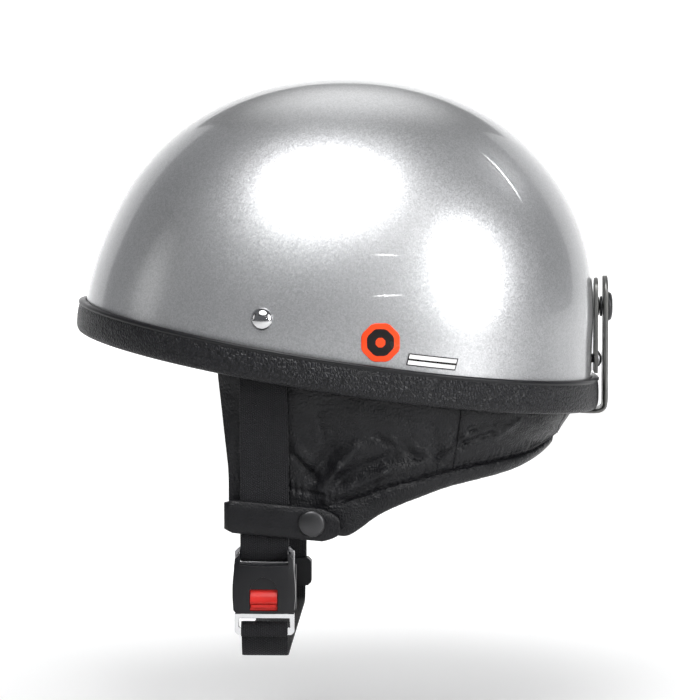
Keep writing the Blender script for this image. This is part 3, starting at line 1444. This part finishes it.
# ------------------------------------------------------------------ goggle strap holder
class HELMET_OT_holder(bpy.types.Operator):
    """Makes the goggle strap holder at the rear"""
    bl_idname = "helmet.holder"
    bl_label = "Goggle strap holder"

    def execute(self, context):
        rounded_piece("goggle_backplate", "holder_plate", "gunmetal", "helmet", 0.4 * MM,
                      slot="black_metal")
        leaf_low, leaf_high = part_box("goggle_strap")
        hook_low, hook_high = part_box("goggle_strap_anchor")
        half = leaf_high.x / MM
        outer = leaf_high.y / MM
        thick = outer - leaf_low.y / MM
        mid = outer - thick / 2
        low = hook_low.z / MM + 0.9
        inside = hook_low.y / MM + 0.9
        top = leaf_high.z / MM
        route = smooth_line([(inside, hook_high.z / MM), (inside, low + 3),
                             (inside + 1.2, low + 0.5), (inside + 4, low), (mid - 4.4, low),
                             (mid - 1.2, low + 1.4), (mid, low + 5), (mid, low + 20),
                             (mid, top - 12), (mid - 0.3, top)], 0.7)
        last = len(route) - 1
        facing = across_route(route)
        section = [(0.5, 0.15), (0.485, 0.4), (0.45, 0.5), (0.2, 0.5), (-0.2, 0.5), (-0.45, 0.5),
                   (-0.485, 0.4), (-0.5, 0.15), (-0.5, -0.15), (-0.47, -0.5), (-0.2, -0.5),
                   (0.2, -0.5), (0.47, -0.5), (0.5, -0.15)]
        count = len(section)

        def place(u, v):
            i = round(v * last)
            share, lift = section[round(u * count) % count]
            y, z = route[i]
            near = clamp((top - z) / 10) if y > outer - 4 else 1.0
            width = half * 2 * share * math.sqrt(clamp(1 - (1 - near) ** 2, 0.004, 1))
            depth = lerp(1.8, thick, smoothstep(z, low, low + 8) if y > outer - 4 else 0)
            spot = Vector((y, z)) + facing[i] * (lift * depth)
            return Vector((width, spot.x, spot.y)) * MM

        bm = capped(grid(count, last, place), count)
        leaf = finish_piece(bm, "holder_strap", "gunmetal", None, slot="black_leather")
        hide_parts("goggle_strap", "goggle_strap_anchor")
        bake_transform(leaf)

        stud_low, stud_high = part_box("goggle_snap_stud")
        ring_low, ring_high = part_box("goggle_snap_socket")
        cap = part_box("goggle_snap_cap")[1].y / MM - 2.8
        levels = (cap, cap + 2.8, stud_low.y / MM, stud_high.y / MM, ring_low.y / MM,
                  ring_high.y / MM)
        off_y = Vector((1, 0, 1))
        snap_pieces("goggle", middle_of("goggle_snap_cap") * off_y, (0, 1, 0), levels)
        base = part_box("goggle_backplate")[1].y / MM + 0.1
        profile = [(0, base + 2.1), (1.6, base + 1.95), (3.0, base + 1.4), (3.9, base + 0.7),
                   (4.2, base + 0.2), (4.1, base), (2, base), (2, base - 6), (0, base - 6)]
        for side, sign in SIDES:
            node = f"goggle_rivet_{side}"
            bm = aim(turned(profile), middle_of(node) * off_y, (0, 1, 0))
            finish_piece(bm, f"holder_rivet_{side}", "steel", "helmet", node)
        return {"FINISHED"}


# ------------------------------------------------------------------ studio
FLOOR_Z = -0.215
CAMERA_TURN, CAMERA_RISE, CAMERA_AWAY = 92.0, 4.5, 1.55  # degrees round, degrees up, metres
BLACK, WHITE = (0, 0, 0, 1), (1, 1, 1, 1)


class HELMET_OT_stage(bpy.types.Operator):
    """Makes the floor, the soft lights and the camera"""
    bl_idname = "helmet.stage"
    bl_label = "Studio"

    def floor(self):
        bm = bmesh.new()
        path = [(-3.0, FLOOR_Z), (3.0, FLOOR_Z), (3.9, 0.05), (4.2, 0.9), (4.2, 5.0)]
        verts = [bm.verts.new((-x, -6, z)) for x, z in path]
        edges = [bm.edges.new(pair) for pair in zip(verts, verts[1:])]
        moved = bmesh.ops.extrude_edge_only(bm, edges=edges)["geom"]
        bmesh.ops.translate(bm, vec=(0, 12, 0), verts=[g for g in moved
                                                       if isinstance(g, bmesh.types.BMVert)])
        floor = link("floor", mesh_of("floor", bm))
        t = Finish("paper", Specular_IOR_Level=0.1, Roughness=0.9,
                                            Emission_Strength=0.5)
        place = t.place()
        depth = t.add("SeparateXYZ", {0: place}).outputs[0]
        behind = t.span(depth, 0.05, -0.5, 0.0, 1.0)
        t.drive("Emission Color", t.mix(behind, BLACK, WHITE))
        cloud = t.add("TexNoise", {"Vector": place, "Scale": 1.5}).outputs["Fac"]
        t.drive("Base Color", t.mix(cloud, (0.90, 0.90, 0.90, 1), (0.93, 0.93, 0.93, 1)))
        floor.data.materials.append(t.made)
        soften(floor, 2)

    def pointed(self, item, place, way):
        item.location = place
        item.rotation_mode = "QUATERNION"
        item.rotation_quaternion = way.to_track_quat("-Z", "Y")

    def lamp(self, name, place, target, size, power):
        data = bpy.data.lights.new(name, "AREA")
        data.shape = "RECTANGLE"
        data.size, data.size_y = size
        data.energy = power
        self.pointed(link(name, data), place, Vector(target) - Vector(place))

    def softbox(self, name, place, size, strength, along=(0, 1, 0), target=(0, 0, 0.05)):
        """A glowing panel that fades towards its edges and that the camera can't see."""
        bm = bmesh.new()
        bm.loops.layers.uv.verify()
        bmesh.ops.create_grid(bm, x_segments=1, y_segments=1, size=0.5, calc_uvs=True)
        bmesh.ops.scale(bm, vec=(*size, 1), verts=bm.verts[:])
        facing = (Vector(target) - Vector(place)).normalized()
        side = Vector(along).cross(facing).normalized()
        turn = Matrix((side, facing.cross(side), facing)).transposed()
        bmesh.ops.rotate(bm, cent=(0, 0, 0), matrix=turn, verts=bm.verts[:])
        bmesh.ops.translate(bm, vec=place, verts=bm.verts[:])
        panel = link(name, mesh_of(name, bm, smooth=False))
        t = Finish(name, Base_Color=BLACK, Roughness=1.0, Emission_Strength=strength)
        uv = t.add("UVMap").outputs[0]
        centred = t.add("Mapping", {"Vector": uv, "Location": (-1, -1, 0), "Scale": (2, 2, 1)})
        away = t.add("VectorMath", {0: centred.outputs[0]}, operation="LENGTH").outputs["Value"]
        glow = t.add("MapRange", {"Value": away, "From Min": 0.12, "From Max": 1.0,
                                  "To Min": 1.0, "To Max": 0.0},
                     interpolation_type="SMOOTHSTEP").outputs[0]
        t.drive("Emission Color", t.mix(glow, BLACK, WHITE))
        panel.data.materials.append(t.made)
        panel.visible_camera = False

    def camera(self):
        turn, rise, away = math.radians(CAMERA_TURN), math.radians(CAMERA_RISE), CAMERA_AWAY
        back = Vector((math.sin(turn) * math.cos(rise), -math.cos(turn) * math.cos(rise),
                       math.sin(rise)))
        target = Vector((0, 7 * MM, 1 * MM))
        data = bpy.data.cameras.new("camera")
        data.lens = 146
        data.sensor_width = 36
        data.clip_start, data.clip_end = 0.05, 50
        camera = link("camera", data)
        self.pointed(camera, target + back * away, -back)
        bpy.context.scene.camera = camera

    def execute(self, context):
        self.floor()
        self.camera()
        self.softbox("key", (0.72, -0.12, 1.02), (1.25, 1.42), 11)
        self.softbox("side", (0.80, 0.92, 0.38), (0.92, 1.25), 11, along=(0, 0, 1))
        self.softbox("strip", (-0.27, 1.0, 0.93), (0.032, 0.56), 45, along=(0.13, 0.36, -0.34))
        for height in (0.57, 0.24):
            self.softbox("tube", (1.15, 0.34, height), (0.02, 0.30), 25)
        self.softbox("top", (-0.9, 0.0, 1.6), (1.9, 1.9), 1.6)
        self.softbox("front", (0.25, -1.7, 0.4), (0.9, 1.3), 1.2, along=(0, 0, 1))
        self.lamp("backdrop", (-1.6, 0.0, 2.4), (-3.6, 0, 0.6), (2.5, 1.0), 60)
        world = bpy.data.worlds.new("studio")
        world.use_nodes = True
        shade = world.node_tree.nodes["Background"]
        shade.inputs["Color"].default_value = (0.93, 0.95, 1.0, 1)
        shade.inputs["Strength"].default_value = 0.17
        bpy.context.scene.world = world
        bpy.context.scene.view_settings.view_transform = "Standard"
        return {"FINISHED"}


# ------------------------------------------------------------------ panel and running
PIECE_OPERATORS = (HELMET_OT_shell, HELMET_OT_trim, HELMET_OT_liners, HELMET_OT_decals,
                   HELMET_OT_apron, HELMET_OT_stitches, HELMET_OT_roll, HELMET_OT_rivets,
                   HELMET_OT_webbing, HELMET_OT_buckle, HELMET_OT_keepers, HELMET_OT_holder,
                   HELMET_OT_stage)


class HELMET_PT_panel(bpy.types.Panel):
    """Lists the helmet's settings and the operators that make it"""
    bl_idname = "HELMET_PT_panel"
    bl_label = "Half helmet"
    bl_space_type = "VIEW_3D"
    bl_region_type = "UI"
    bl_category = "Helmet"

    def draw(self, context):
        for holder in (context.scene.helmet_sizes, context.scene.helmet_colours):
            box = self.layout.box()
            for key in holder.__annotations__:
                box.prop(holder, key)
        for operator in PIECE_OPERATORS:
            self.layout.operator(operator.bl_idname)


CLASSES = (HelmetSizes, HelmetColours, *PIECE_OPERATORS, HELMET_PT_panel)


def register():
    for item in CLASSES:
        bpy.utils.register_class(item)
    bpy.types.Scene.helmet_sizes = bpy.props.PointerProperty(type=HelmetSizes)
    bpy.types.Scene.helmet_colours = bpy.props.PointerProperty(type=HelmetColours)


def unregister():
    del bpy.types.Scene.helmet_colours
    del bpy.types.Scene.helmet_sizes
    for item in reversed(CLASSES):
        bpy.utils.unregister_class(item)


def main():
    register()
    bpy.ops.helmet.stage()
    bpy.ops.helmet.shell()
    bpy.ops.helmet.trim()
    bpy.ops.helmet.liners()
    bpy.ops.helmet.decals()
    bpy.ops.helmet.apron()
    bpy.ops.helmet.stitches()
    bpy.ops.helmet.roll()
    bpy.ops.helmet.rivets()
    bpy.ops.helmet.webbing()
    bpy.ops.helmet.buckle()
    bpy.ops.helmet.keepers()
    bpy.ops.helmet.holder()


if __name__ == "__main__":
    main()
